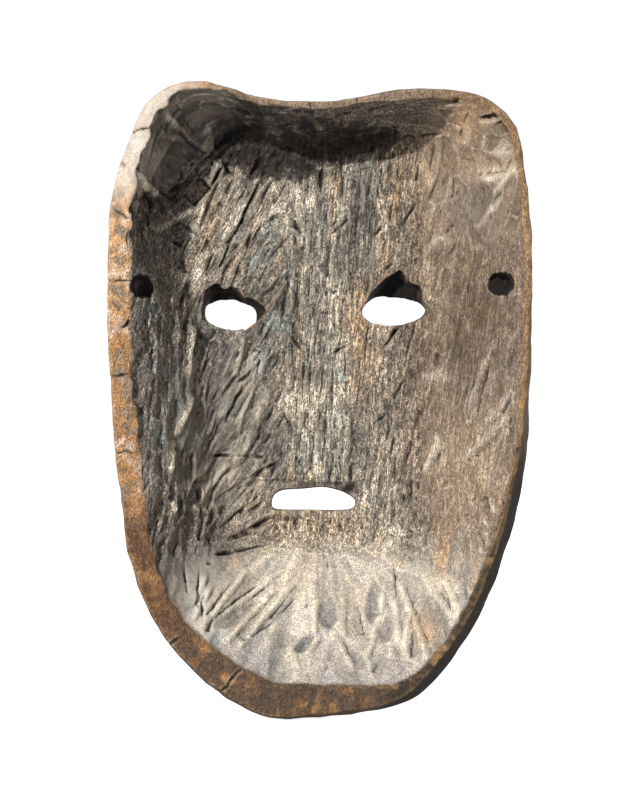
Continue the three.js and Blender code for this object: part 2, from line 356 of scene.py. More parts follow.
def tool_at(x, z):
    """How the gouge ran at a place in the hollow: heading in degrees, then length, width and depth."""
    if z < -106 and abs(x - 2) < 50:  # the bowl under the mouth, cut in a fan
        return heading_from(BOWL_TOP, x, z), 34, 13, 1.9
    if z < -84 and x > 44:  # the dark lower left corner
        return 38, 26, 7, 2.6
    if z < -84 and x < -34:  # little scoops low on the right
        return -28, 14, 7, 1.5
    if x > 52 and z > 14 or (z > 50 and x > 22):  # big facets in the upper left corner
        return 44, 24, 12, 1.5
    if x > 52:  # the left wall
        return 20, 24, 9, 1.5
    if z > 56 and x > -50:  # the top wall
        return 58, 24, 9, 1.7
    if x < -40 and z > 22:  # broad facets that spread into the upper right corner
        return heading_from((-38, 6), x, z), 30, 15, 1.6
    if x > 22 and z < -62:  # long cuts that sweep down to the left of the mouth
        return 48, 30, 9, 2.2
    if x > 17:
        return 27, 30, 7, 2.1 if z > -12 else 1.8
    if x < -30:
        return 16, 34, 9, 0.9
    return 5, 24, 5.5, 0.9


def heading_vector(degrees):
    """A direction in the XZ plane, turned from upright towards the mask's right."""
    angle = math.radians(degrees)
    return np.array([-math.sin(angle), 0, math.cos(angle)])


class Cuts:
    """Gouge cuts. Where cuts overlap, the deepest one counts, which leaves crisp ridges between them."""

    CELL = 8

    def __init__(self, surface, directions, home):
        self.points = surface.points.copy()
        self.directions = directions
        self.home = home
        self.wobble = 0.45 * noise(self.points, 14, 77) + 0.25 * layered(self.points, 2.6, 2, 78)
        self.ragged = 0.9 * layered(self.points, 2.8, 2, 79)
        self.depth = np.zeros(len(self.points))
        self.second = np.zeros(len(self.points))
        self.tone = np.zeros(len(self.points))
        cells = np.floor((self.points[:, [0, 2]] + 200) / self.CELL).astype(int)
        keys = cells[:, 0] * 100 + cells[:, 1]
        self.order = np.argsort(keys, kind="stable")
        self.keys = keys[self.order]

    def around(self, point, reach):
        """The vertices in the cells round a point."""
        low = np.floor((point[[0, 2]] + 200 - reach) / self.CELL).astype(int)
        high = np.floor((point[[0, 2]] + 200 + reach) / self.CELL).astype(int)
        columns = np.arange(low[0], high[0] + 1) * 100
        first = np.searchsorted(self.keys, columns + low[1], "left")
        last = np.searchsorted(self.keys, columns + high[1], "right")
        return np.concatenate([self.order[a:b] for a, b in zip(first, last)])

    def add(self, centre, heading, length, width, depth, tone=0.0, stop=0.2, cliff=0, flat=False):
        """One cut along a heading, centred on a vertex, or on the nearest one at home to a place (x, z).

        Stop is how abruptly it ends at its upper end, from 0 to 1, or at its lower end when negative.
        A cliff of 1 or -1 makes a flat cut that slopes down to one side and ends there in a steep edge.
        A flat one is a four-sided facet with steep sides, which slopes down towards its cliff.
        """
        if not isinstance(centre, (int, np.integer)):
            spot = np.array([centre[0], 0, centre[1]])
            near = self.around(spot, 8)
            gap = np.hypot(*(self.points[near] - spot)[:, [0, 2]].T) + (1 - self.home[near]) * 1e3
            centre = int(near[np.argmin(gap)])
        middle = self.points[centre]
        normal = self.directions[centre]
        along = heading_vector(heading)
        along = unit(along - normal * np.dot(along, normal))
        sideways = np.cross(normal, along)
        near = self.around(middle, max(length, width) / 2 + 2)
        offsets = self.points[near] - middle
        loose = 0.3 if flat else 1
        bend = self.wobble[near] * loose * min(1, 8 / width) ** 1.5
        u = (offsets @ along + self.ragged[near] * loose) / (length / 2)
        v = (offsets @ sideways + bend) / (width / 2)
        towards_stop = u if stop >= 0 else -u
        if flat:
            to_side = np.minimum((1 - np.abs(u)) * length, (1 - np.abs(v)) * width) / 2
            shape = np.clip(to_side / 0.8, 0, 1) * (0.7 + 0.2 * v * cliff + 0.1 * u)
        elif cliff:
            edge = 1.4 / width  # the steep edge is 0.7 mm wide
            slope = np.clip((1 + v * cliff) / 2, 0, 1)
            steep_edge = np.clip((1 - v * cliff) / edge, 0, 1)
            start = np.clip((1.05 + towards_stop) / 1.6, 0, 1)
            finish = np.clip((1 - towards_stop) * 6, 0, 1)
            shape = np.minimum(slope, steep_edge) * np.minimum(start, finish)
        else:
            ease_in = np.clip((1 + towards_stop) / 1.1, 0, 1) ** 0.8
            ease_out = np.clip((1 - towards_stop) / (1 - 0.9 * abs(stop)), 0, 1) ** 0.8
            # It narrows to its ends like a leaf.
            shape = np.clip(np.minimum(ease_in, ease_out) - v * v, 0, 1)
        shape = shape * depth * (np.abs(offsets @ normal) < 8)
        deeper = shape > self.depth[near]
        chosen, others = near[deeper], near[~deeper]
        self.second[chosen] = self.depth[chosen]
        self.second[others] = np.maximum(self.second[others], shape[~deeper])
        self.depth[chosen] = shape[deeper]
        self.tone[chosen] = tone

    def ridges(self, softness):
        """1 along the ridges where two cuts meet."""
        met = np.exp(-(((self.depth - self.second) / softness) ** 2))
        return met * np.clip(self.depth / 0.25, 0, 1)


def scattered(where, spacing, attempts, seed):
    """Vertex numbers spread evenly over the vertices where a mask is set."""
    choice = np.random.default_rng(seed)
    candidates = choice.choice(np.flatnonzero(where), size=attempts)
    kept = np.empty((0, 3))
    numbers = []
    for candidate in candidates:
        place = skin.points[candidate]
        if len(kept) and ((kept - place) ** 2).sum(1).min() < spacing(place[0], place[2]) ** 2:
            continue
        kept = np.vstack([kept, place])
        numbers.append(int(candidate))
    return numbers


def gouge_all_over(cuts):
    """The general run of overlapping gouge cuts all over the hollow."""

    def spacing(x, z):
        _, length, width, _ = tool_at(x, z)
        return math.sqrt(length * width) * 0.48

    for vertex in scattered(hollow > 0.9, spacing, 5200, 3):
        x, _, z = skin.points[vertex]
        heading, length, width, depth = tool_at(x, z)
        cuts.add(
            vertex,
            heading + rng.normal(0, 8),
            length * rng.uniform(0.6, 1.3),
            width * rng.uniform(0.65, 1.35),
            depth * rng.uniform(0.5, 1.4),
            tone=rng.uniform(-1, 1),
            stop=rng.choice([-0.95, -0.5, 0.1, 0.5, 0.95]),
            cliff=0 if z < -106 and x < 40 else rng.choice([-1, -1, 0, 1]),
        )


def nicks_all_over(cuts):
    """Small torn nicks between and over the gouge cuts, thick on the floor and few in the bowl."""
    for vertex in scattered(hollow > 0.9, lambda x, z: 3.1, 9000, 13):
        x, _, z = skin.points[vertex]
        heading, _, _, _ = tool_at(x, z)
        few = 0.1 if z < -104 or (x > 46 and z > 14) else 0.25 if x < -36 else 0.55 if x > 20 else 1
        if rng.random() > few:
            continue
        cuts.add(
            vertex,
            heading + rng.normal(0, 16),
            rng.uniform(5, 18),
            rng.uniform(1.6, 3.4),
            rng.uniform(0.3, 1.0),
            stop=rng.choice([-0.95, 0.1, 0.95]),
            cliff=rng.choice([-1, 0, 1]),
        )


# The cuts that stand out: x, z, heading, length, width, depth.
BOLD_CUTS = [
    (32, 37, 25, 46, 4.5, 1.9),
    (45, 44, 24, 18, 5.5, 1.7),
    (50, 24, 22, 34, 6.0, 1.6),
    (24, 22, 26, 34, 6.5, 1.6),
    (39, 8, 22, 28, 6.0, 1.4),
    (58, -36, 14, 40, 6.0, 1.4),
    (47, -42, 16, 42, 5.0, 1.5),
    (33, -36, 12, 34, 5.0, 1.9),
    (26, -41, 12, 30, 4.5, 1.7),
    (60, -66, 20, 34, 7.0, 1.4),
    (45, -70, 38, 46, 8.0, 1.7),
    (34, -68, 32, 34, 9.0, 1.4),
    (52, -92, 42, 36, 8.0, 1.8),
    (40, -90, 48, 40, 7.0, 1.6),
    (30, -104, 60, 38, 7.5, 2.0),
    (-67, 47, -74, 27, 12.0, 2.2),
    (-63, 36, 37, 27, 13.0, 1.8),
    (-77, 36, 30, 20, 8.0, 1.4),
    (-73, 62, 58, 13, 7.0, 2.2),
    (-56, 58, 12, 22, 8.0, 1.2),
    (-61, 20, -60, 24, 9.0, 1.2),
    (-62, 5, 30, 30, 8.0, 1.3),
    (-64, 8, 28, 26, 8.0, 1.1),
    (-61, -16, 24, 54, 4.0, 1.3),
    (-55, -22, 19, 52, 3.5, 1.2),
    (-56, -72, 46, 34, 9.0, 1.4),
    (-20, 62, 66, 30, 8.0, 1.4),
    (-38, 66, 58, 30, 9.0, 1.4),
]

# Leaf-shaped cuts that fan out in the bowl: x, z, heading, length, width, depth, cliff.
LEAVES = [
    (52, -110, 24, 18, 6, 2.0, 1),
    (47, -121, 27, 18, 5, 2.2, 1),
    (43, -130, 28, 18, 5, 2.0, -1),
    (37, -124, 38, 32, 5, 2.4, 1),
    (31, -131, 50, 32, 7, 2.8, 0),
    (40, -139, 30, 14, 6, 1.8, 0),
    (22, -133, 44, 34, 7, 2.2, -1),
    (12, -128, 26, 22, 8, 1.6, 1),
    (-3, -131, 2, 20, 9, 2.2, 0),
    (-14, -132, -6, 22, 7, 1.6, -1),
    (-22, -128, -4, 24, 8, 2.8, 0),
    (-28, -135, 1, 20, 7, 2.6, 0),
    (-35, -129, -14, 16, 5, 2.2, -1),
    (-38, -139, -12, 18, 6, 1.8, 1),
    (-47, -135, -24, 26, 9, 2.0, 0),
    (-48, -122, -30, 20, 6, 1.8, -1),
    (-55, -121, -26, 18, 6, 1.8, -1),
    (5, -142, 40, 14, 7, 1.8, 0),
    (-13, -146, -34, 16, 6, 1.2, 0),
    (-26, -148, 20, 16, 7, 1.2, 1),
    (24, -148, 34, 18, 8, 1.2, -1),
]

# Flat facets in the upper left corner: x, z, heading, length, width, depth, slope.
CORNER_FACETS = [
    (59, 50, 43, 26, 16, 4.4, 1),
    (58, 66, 43, 11, 10, 3.2, -1),
    (68, 31, 43, 15, 14, 4.0, -1),
    (46, 69, 52, 16, 11, 3.4, 1),
    (37, 66, 60, 15, 9, 3.0, -1),
    (70, 20, 36, 12, 9, 3.0, 1),
    (73, 45, 20, 14, 7, 2.6, 1),
    (50, 40, 43, 12, 8, 4.6, -1),
]

# Sharp ridges left standing between two cuts: x and z of the upper end, x and z of the lower end, height.
RIDGES = [
    (29, -115, 46, -136, 1.2),
    (18, -118, 38, -131, 1.0),
    (17, -122, 37, -141, 1.3),
    (11, -121, 32, -144, 1.2),
    (45, -116, 50, -127, 1.2),
    (43, -120, 49, -132, 1.3),
    (42, -126, 45, -137, 1.1),
    (1, -127, 2, -140, 0.8),
    (-10, -124, -10, -141, 0.9),
    (-25, -123, -25, -131, 1.0),
    (-25, -131, -19, -148, 1.0),
    (-30, -125, -32, -142, 1.3),
    (-35, -132, -34, -147, 0.9),
    (-32, -118, -43, -147, 1.5),
    (-43, -118, -52, -130, 1.1),
    (-50, -116, -56, -133, 1.1),
    (0, -140, 6, -148, 0.9),
    (-7, -141, -14, -151, 0.9),
    (12, -143, 8, -151, 0.8),
    (-28, -141, -28, -147, 0.7),
    (-62, 43, -75, 44, 1.6),
    (-77, 45, -69, 35, 1.3),
    (-75, -51, -59, -70, 1.3),
    (-70, -22, -59, -50, 1.0),
    (-77, -42, -66, -56, 0.9),
    (-50, -60, -44, -76, 0.8),
    (-64, 53, -76, 51, 1.1),
    (-72, 34, -63, 22, 1.2),
    (-57, 65, -60, 55, 0.8),
    (53, 60, 62, 59, 1.3),
    (59, 68, 53, 61, 1.1),
    (46, 57, 61, 40, 1.4),
    (71, 45, 63, 37, 1.5),
    (60, 40, 64, 37, 1.2),
    (52, 33, 66, 22, 1.0),
    (51, -15, 53, -37, 1.1),
    (51, -43, 57, -61, 1.5),
    (57, -61, 59, -75, 1.2),
    (31, -18, 35, -36, 1.2),
    (26, -26, 30, -36, 1.1),
    (28, -40, 34, -58, 1.4),
    (25, -50, 25, -58, 0.8),
    (25, -58, 33, -71, 0.9),
    (45, -71, 52, -83, 1.2),
    (37, -72, 48, -86, 1.2),
    (60, -79, 57, -92, 1.0),
    (45, 40, 52, 22, 1.2),
    (27, 39, 39, 20, 1.3),
    (17, 34, 26, 26, 0.9),
    (46, 16, 51, 2, 1.1),
    (8, 46, 9, 28, 0.8),
    (-8, 44, -10, 24, 0.8),
    (-26, 40, -29, 20, 0.9),
]

# Narrow, deep cracks and tears: x, z, heading, length, width, depth.
TEARS = [
    (28, 39, 25, 38, 1.9, 2.4),
    (30, 20, 22, 12, 2.4, 2.0),
    (43, 46, 32, 14, 1.8, 1.8),
    (38, 50, -38, 9, 2.6, 1.6),
    (-29, -19, 38, 13, 2.0, 2.2),
    (-37, -22, 14, 24, 1.6, 1.5),
    (-33, -40, 24, 16, 1.9, 1.6),
    (-24, -54, 48, 9, 1.5, 1.2),
    (39, -69, 88, 18, 1.8, 1.9),
    (37, -50, 30, 40, 1.7, 1.7),
    (29, -34, 45, 14, 2.0, 1.8),
    (15, -52, -32, 11, 2.2, 1.8),
    (10, -22, -35, 9, 1.8, 1.4),
    (-9, -24, 60, 9, 1.6, 1.4),
    (14, -2, 10, 30, 1.8, 1.3),
    (43, -61, 40, 22, 1.8, 1.8),
    (34, -69, 90, 22, 1.8, 1.8),
    (0, 48, 4, 16, 2.2, 1.8),
    (-20, 46, 6, 18, 2.2, 1.8),
    (-32, 50, 8, 14, 2.0, 1.6),
    (27, -98, 62, 30, 3.4, 2.6),
    (30, -107, 64, 34, 3.0, 2.6),
    (48, -88, 10, 24, 2.8, 2.2),
    (44, -100, 34, 18, 2.2, 1.6),
    (-40, 74, 40, 8, 1.6, 1.4),
    (-9, 27, 42, 10, 2.4, 2.0),
    (-37, 32, 32, 13, 2.0, 1.9),
    (-24, 25, 30, 8, 1.8, 1.5),
    (-28, 9, 42, 9, 2.0, 1.4),
    (10, 28, -34, 11, 2.4, 1.8),
    (56, -5, 40, 9, 3.0, 1.6),
    (52, 24, -52, 12, 2.6, 1.8),
    (57, 18, -60, 10, 2.2, 1.6),
    (25, 8, -62, 14, 2.2, 1.3),
    (-68, 66, 63, 14, 3.0, 2.6),
    (-52, 14, 36, 15, 1.5, 1.3),
    (-58, -8, 12, 24, 1.2, 0.8),
    (-66, -36, 22, 36, 1.8, 1.4),
    (-61, -40, 22, 30, 1.5, 1.2),
    (-74, -46, 30, 14, 1.4, 0.9),
    (-18, -30, 8, 46, 1.3, 0.8),
    (-44, -50, 12, 40, 1.3, 0.8),
    (20, -120, 40, 30, 1.4, 1.0),
    (33, -126, 44, 34, 1.4, 1.2),
    (-30, -118, -18, 26, 1.3, 0.9),
    (-3, -112, 4, 20, 1.3, 0.7),
    (-11, -110, -12, 18, 1.3, 0.7),
    (48, -119, 26, 14, 1.8, 1.8),
    (46, -127, 24, 14, 1.8, 1.8),
    (52, -117, 24, 12, 1.6, 1.4),
    (16, -131, 33, 20, 1.3, 1.2),
    (8, -81.6, 94, 17, 1.4, 1.1),
    (-4, -81.0, 88, 14, 1.6, 1.2),
    (-12, -82.2, 62, 9, 3.0, 2.2),
]


gouges = Cuts(skin, normals, hollow)
gouge_all_over(gouges)
for x, z, heading, length, width, depth in BOLD_CUTS:
    side = 0 if z < -100 else rng.choice([-1, 0, 1])
    tone = rng.uniform(-1, 1)
    stop = rng.uniform(-0.9, 0.9)
    gouges.add((x, z), heading, length, width, depth * 1.5, tone, stop, side)
for x, z, heading, length, width, depth, side in CORNER_FACETS:
    gouges.add((x, z), heading, length, width, depth, rng.uniform(-1, 1), cliff=side, flat=True)
leaves = Cuts(skin, normals, hollow)
for x, z, heading, length, width, depth, side in LEAVES:
    leaves.add((x, z), heading, length, width, depth, rng.uniform(-1, 1), -0.4, side)
tears = Cuts(skin, normals, hollow)
tears.wobble = 0.7 * noise(skin.points, 9, 83) + 0.4 * noise(skin.points, 2.2, 84)
for x, z, heading, length, width, depth in TEARS:
    tears.add((x, z), heading, length, width, depth, stop=rng.uniform(-0.8, 0.8))
tears.depth *= np.clip(0.75 + 0.8 * noise(skin.points, 4, 85), 0, 1.2)
nicks = Cuts(skin, normals, hollow)
nicks.wobble *= 0.6
nicks_all_over(nicks)


# ---------------------------------------------------------------- torn fibres, char and the rim

bare = skin.points.copy()
x, z = bare[:, 0], bare[:, 2]

# The fibres lie at three slants: on the left of the hollow, in its middle and on its right.
FIBRE_LEANS = (27, 3, 11)
on_left = ramp(x, 8, 26)
on_right = ramp(x, -8, -30)
fibre_shares = (on_left, (1 - on_left) * (1 - on_right), on_right)


def turned(points, lean):
    """The points in a frame whose Z runs along fibres that lean by some degrees."""
    angle = math.radians(lean)
    across = points[:, 0] * math.cos(angle) + points[:, 2] * math.sin(angle)
    along = points[:, 2] * math.cos(angle) - points[:, 0] * math.sin(angle)
    return np.stack([across, points[:, 1], along], axis=1)


def fibre_noise(period, octaves, seed):
    total = np.zeros(len(bare))
    for lean, share in zip(FIBRE_LEANS, fibre_shares):
        total += share * layered(turned(bare, lean), period, octaves, seed)
    return total


below_top = ramp(z, 64, 54)
in_middle = hollow * ramp(np.abs(x - 2), 46, 22) * ramp(z, -102, -86) * below_top
on_floor = hollow * ramp(np.abs(x), 62, 48) * ramp(z, -112, -96) * below_top
streaks = fibre_noise((2.4, 30, 20), 3, 5)
steps = np.round(streaks * 2.6 + 0.3 * noise(bare, (2, 9, 6), 8)) / 2.6
splinters = (0.7 + 0.65 * in_middle) * on_floor * (0.7 * steps + 0.3 * streaks)
creases = np.clip(1 - np.abs(fibre_noise((4.2, 20, 60), 2, 97)) * 2.4, 0, 1) ** 2
creases *= on_floor * (0.3 + 0.7 * in_middle) * ramp(noise(bare, (8, 8, 14), 98), -0.1, 0.3)
pits = on_floor * ramp(fibre_noise((2.6, 8, 6.5), 2, 91), 0.36, 0.72)
scars = hollow * ramp(fibre_noise((1.7, 12, 12), 2, 95), 0.44, 0.78) * (0.35 + 0.65 * in_middle)

charred = blob(bare, 14, 54, 19, 8) + 0.85 * blob(bare, -12, 60, 20, 5)
charred += 0.6 * blob(bare, 34, 58, 10, 6)
patchy = 1 + 0.5 * layered(bare, 7, 2, 33) + 0.45 * layered(bare, 2.8, 2, 34)
charred = np.clip(1.25 * charred * hollow * patchy, 0, 1)
crumbled = charred * (4.0 * layered(bare, 4.2, 3, 31) - 0.9)

# The floor breaks off in a torn edge where the upper left corner's wall begins.
beyond_corner = (x + z) * 0.707 - 70 + 4.5 * layered(bare, 9, 3, 36)
by_corner = hollow * ramp(x, 30, 38) * ramp(z, 10, 22)
torn_edge = by_corner * np.exp(-((beyond_corner / 5) ** 2))
crumbled += torn_edge * 1.8 * layered(bare, 4, 3, 37)
crumbled -= by_corner * 1.6 * ramp(beyond_corner, -0.6, 0.8)

wrinkles = blob(bare, 68, -19, 9, 9) * hollow * 0.5 * noise(bare, (9, 9, 2.2), 35)

# The blade chattered along one long cut low on the right.
CHATTER_LEAN = 46
CHATTER_AT = (-64.0, 0, -66.0)
slanted = turned(bare, CHATTER_LEAN)
chatter_x, _, chatter_z = turned(np.array([CHATTER_AT]), CHATTER_LEAN)[0]
chatter_phase = slanted[:, 2] * 2 + 1.6 * noise(bare, 5, 38) + slanted[:, 0] * 0.6
chatter = hollow * blob(slanted, chatter_x, chatter_z, 3.4, 15) * 0.2 * np.cos(chatter_phase)


def standing_ridges():
    """How high the ridges stand, how near a place is to a crest, and where a painted shadow lies at a
    crest's foot.
    """
    height, crest, foot = np.zeros((3, len(bare)))
    bend = 0.5 * noise(bare, 9, 39) + 0.25 * noise(bare, 2.5, 40)
    for top_x, top_z, end_x, end_z, rise in RIDGES:
        run = np.array([end_x - top_x, end_z - top_z])
        length = np.hypot(*run)
        run = run / length
        along = (x - top_x) * run[0] + (z - top_z) * run[1]
        across = (x - top_x) * run[1] - (z - top_z) * run[0] + bend
        ends = np.clip(np.minimum(along, length - along) / 3 + 0.2, 0, 1) * hollow
        profile = np.clip(np.minimum(1 - across / 1.1, 1 + across / 4), 0, 1)
        height = np.maximum(height, rise * ends * profile)
        crest = np.maximum(crest, ends * np.exp(-(((across + 0.8) / 1.1) ** 2)))
        foot = np.maximum(foot, ends * np.exp(-(((across - 1.1) / 0.5) ** 2)))
    return height, crest, foot


ridge_height, ridge_crest, ridge_painted_shadow = standing_ridges()

rough = hollow * (0.2 * layered(bare, (1.8, 1.8, 2.4), 2, 12) + 0.2 * noise(bare, (4, 4, 6), 13))
swell = hollow * 1.1 * layered(bare, 26, 2, 21)

# Fine strokes fan out over the bowl, laid out by their angle and their distance from its top.
FAN_SPREAD = 30
from_bowl_top = np.arctan2(x - BOWL_TOP[0], BOWL_TOP[1] - z) * FAN_SPREAD
fan_points = np.stack([from_bowl_top, 0 * x, np.hypot(x - BOWL_TOP[0], z - BOWL_TOP[1])], axis=1)
fan = layered(fan_points, (2.4, 9, 24), 3, 87)

# Cuts leave some wood standing, and none run into the mouth's edges.
SAFE_WOOD = 1.8
MOUTH = (2.4, -87, 18.5, 6.2)  # x, z, half its width and half its height
safe_depth = np.clip((thickness - SAFE_WOOD) * 0.6, 0, 9)
in_bowl = ramp(z, -100, -114)
gouged = gouges.depth * (1 - 0.65 * in_bowl)
sinking = np.maximum(gouged, leaves.depth) + tears.depth * 1.2 + nicks.depth + creases * 0.6
sinking += pits * 0.9 + scars * 0.5 - ridge_height
inside_height = -sinking + splinters + crumbled + rough + swell + wrinkles + chatter
inside_height += 0.6 * fan * in_bowl
inside_height = np.maximum(inside_height, -safe_depth)
by_mouth = np.maximum(np.abs(x - MOUTH[0]) / MOUTH[2], np.abs(z - MOUTH[1]) / MOUTH[3])
inside_height *= ramp(by_mouth, 1.0, 1.35)
move = normals * (inside_height * hollow)[:, None]

# The rim's inner edge follows the ends of the cuts beside it, and is jagged where the wall is steep.
beside = np.clip(skin.mean(hollow, 6), 0.02, 1)
carried = skin.mean(move * hollow[:, None], 6) / beside[:, None]
carried[:, 1] = 0
inner_edge = rim * ramp(beside, 0.03, 0.4)
move += carried * (inner_edge * (1 - hollow))[:, None]
by_rim = np.clip(skin.mean(rim, 7) * 2.4, 0, 1) * hollow
cusps = 1 - np.abs(noise(bare, 8, 45)) * 1.6 + 0.6 * layered(bare, 2.8, 2, 46)
jagged = (0.35 + 0.65 * ramp(z, -10, 30) * ramp(x, 20, 50)) * 2.8 * (cusps - 0.5)
move -= inward * (jagged * np.maximum(by_rim, inner_edge))[:, None]

# The rim's back face is uneven, and its outer edge wanders and is chipped.
low_spots = 0.6 * layered(bare, (13, 9, 13), 2, 41) + 0.45 * layered(bare, 3.2, 2, 44)
move[:, 1] += rim * np.minimum(low_spots - 0.25, 0)
outer_side = front * ramp(bare[:, 1], -26, -2)
wander = 0.6 * layered(bare, 22, 2, 47) + 0.35 * layered(bare, 5, 2, 48)
edge_wander = (rim * (1 - inner_edge) + outer_side) * wander
chips = np.clip(layered(bare, (5, 5, 5), 2, 49) - 0.3, 0, 1) * np.clip(rim + 0.5 * outer_side, 0, 1)
edge_wander -= chips * sharp_edges * 2.6 * (1 - inner_edge)
move -= inward * edge_wander[:, None]

# Cracks across the rim: x, z, heading, length, width, depth.
RIM_CRACKS = [
    (78, 2, 86, 16, 1.3, 1.6),
    (75, -16, 60, 7, 2.4, 2.0),
    (70, 60, 82, 18, 1.1, 1.6),
    (77, 27, -60, 12, 1.4, 1.2),
    (35, -156, 40, 16, 1.3, 1.6),
    (79, -36, 75, 14, 1.2, 1.1),
    (77, -66, 100, 12, 1.2, 1.1),
    (3, 72, 4, 7, 1.2, 1.2),
    (-14, 73, -6, 6, 1.2, 1.0),
    (60, -141, 55, 10, 1.4, 1.2),
]
rim_cracks = Cuts(skin, normals, rim)
rim_cracks.wobble *= 2.5
for crack_x, crack_z, heading, length, width, depth in RIM_CRACKS:
    rim_cracks.add((crack_x, crack_z), heading, length, width, depth)
cracked = rim_cracks.depth * np.clip(rim + 0.7 * outer_side, 0, 1)
move -= normals * cracked[:, None]
skin.points += move


# ---------------------------------------------------------------- the carved face outside

FACE_X = 3
EYES = ((38, -9.6), (-30.5, -8.4))
MOUTH_Z = -88


def ring_line(distance, at, width):
    """1 on a line at one distance, and 0 away from it."""
    return np.exp(-(((distance - at) / width) ** 2))


def face_relief(points):
    """How far the finer carving of the face stands out, or is cut in where it's negative."""
    px, pz = points[:, 0], points[:, 2]
    side = np.abs(px - FACE_X)
    relief = np.zeros(len(points))
    for eye_x, eye_z in EYES:
        from_eye = np.hypot((px - eye_x) / 13.5, (pz - eye_z) / 7.5)
        above = ramp(pz, eye_z - 2, eye_z + 3)
        relief += 1.3 * ring_line(from_eye, 1.2, 0.17)
        relief -= 1.5 * ring_line(from_eye, 1.72, 0.13) * above
        relief -= 0.7 * ring_line(from_eye, 1.9, 0.2) * (1 - above)
    from_mouth = np.hypot(side / 24, (pz - MOUTH_Z) / 10.5)
    relief += 1.0 * ring_line(from_mouth, 0.95, 0.2)
    relief -= 1.3 * ring_line(from_mouth, 1.42, 0.1)
    relief -= 1.3 * ring_line(side, 0, 2.4) * ramp(pz, -78, -74) * ramp(pz, -64, -69)
    relief -= 3.6 * np.exp(-(((side - 7.5) / 3.0) ** 2) - ((pz + 61.5) / 2.8) ** 2)
    relief -= 1.0 * np.exp(-(((side - 15.5) / 1.6) ** 2) - ((pz + 55) / 7) ** 2)
    crest = 9 - 0.0042 * (side - 28) ** 2
    brow = ring_line(pz - crest, 0, 5.5) * ramp(side, 7, 12) * ramp(side, 60, 52)
    relief -= 0.7 * brow * (0.5 + 0.5 * np.cos((side * 0.9 + pz * 0.55) * 1.9))
    edge = 45 - 6 * np.exp(-((side / 20) ** 2)) - 0.006 * side**2
    hair = ramp(pz, edge - 1, edge + 3)
    relief -= 1.1 * hair * (0.5 + 0.5 * np.cos(side * 1.25 + 0.5 * noise(points, 12, 81)))
    relief -= 0.9 * ring_line(pz - edge, -2.5, 1.2)
    return relief


facing_out = front * ramp(normals[:, 1], -0.1, -0.5)
facets = Cuts(skin, normals, front)
for vertex in scattered((front > 0.95) & (normals[:, 1] < 0.35), lambda px, pz: 7.5, 3000, 9):
    px, _, pz = bare[vertex]
    heading = 25 * math.sin(pz * 0.05) + (px - FACE_X) * 0.5 + rng.normal(0, 10)
    length, width, depth = rng.uniform(13, 22), rng.uniform(8, 13), rng.uniform(0.25, 0.5)
    facets.add(vertex, heading, length, width, depth, rng.uniform(-1, 1))
outside_height = facing_out * face_relief(bare) - front * facets.depth
outside_height += front * 0.35 * layered(bare, 30, 2, 51)
outside_height -= front * 0.5 * np.clip(layered(bare, (9, 9, 14), 3, 53) - 0.45, 0, 1)
skin.points += normals * outside_height[:, None]
skin.relax(1, np.full(len(bare), 0.08))


# ---------------------------------------------------------------- pigment


def linear(code):
    """A colour written as #rrggbb, in linear light."""
    parts = np.array([int(code[i : i + 2], 16) for i in (1, 3, 5)]) / 255
    return np.where(parts <= 0.04045, parts / 12.92, ((parts + 0.055) / 1.055) ** 2.4)


def paint(pigment, coats):
    """Lays coats over one colour or a pigment, each with its colour and its weight at every vertex."""
    pigment = pigment + np.zeros((len(bare), 1))
    for colour, weight in coats:
        pigment += (colour - pigment) * np.clip(weight, 0, 1)[:, None]
    return pigment


# Wood in the hollow.
GREY_WOOD = linear("#9f9588")
TAN_WOOD = linear("#c0a78b")
WARM_WOOD = linear("#826d5a")
ORANGE_WOOD = linear("#c49c71")
BLUISH = linear("#a3ada8")
SLATE = linear("#6f6a64")
DARK_SLATE = linear("#47433f")
UMBER = linear("#5f4c3a")
# Real char, and also painted shade in holes, cracks, pockets and along the mouth's top edge.
SOOT_AND_SHADE = linear("#191411")

# Wood in the bowl under the mouth, and freshly cut edges; the silver is a painted sheen, and the pale
# edge colour is also used for a painted highlight.
CREAM = linear("#e0d2bd")
BISCUIT = linear("#cfb79b")
LILAC = linear("#b3aaa5")
LEAF_GREY = linear("#8e8985")
PAINTED_SHEEN = linear("#d3d6d1")
PALE_EDGE_AND_HIGHLIGHT = linear("#efe2cd")

# The rim.
RIM_ORANGE = linear("#a87b4e")
RIM_PALE = linear("#dacfc3")
RIM_PEACH = linear("#d2a67c")
RIM_RUST = linear("#5e422c")
RIM_BROWN = linear("#52453a")
RIM_GREY = linear("#7c6f61")
BEVEL = linear("#2b2118")
GOLD = linear("#ad8654")

# The outside.
PATINA = linear("#3a271a")
CHESTNUT = linear("#6a4226")
WORN = linear("#9a6c42")

# Dirt and dust, laid on by the material; the dark one is also painted shade in crevices.
GRIME_AND_SHADE = linear("#17120e")
DUST = linear("#cabca4")

final_normals = unit(skin.mean(skin.normals(), 1))
fine_dip = np.sum((skin.mean(skin.points, 2) - skin.points) * final_normals, axis=1)
broad_dip = np.sum((skin.mean(skin.points, 14) - skin.points) * final_normals, axis=1)
cavity = np.clip(fine_dip * 2.6 + broad_dip * 0.25, -1, 1)
ridges = gouges.ridges(0.13)

# The pockets behind the eyes: x, z, reach in x, reach in z.
EYE_POCKETS = [(36.5, -6, 19, 16), (-30.5, -2.5, 18, 21)]

# The tie holes: x, z, how deep they run straight in, and the way they slant from there.
TIE_HOLES = [
    (69.6, -0.8, 15, (0.77, -0.64, 0)),
    (-71.2, 0.4, 17, (-0.97, -0.24, 0)),
]
TIE_RADIUS = 4.1
PAINTED_SHADE_RADIUS = 4.9


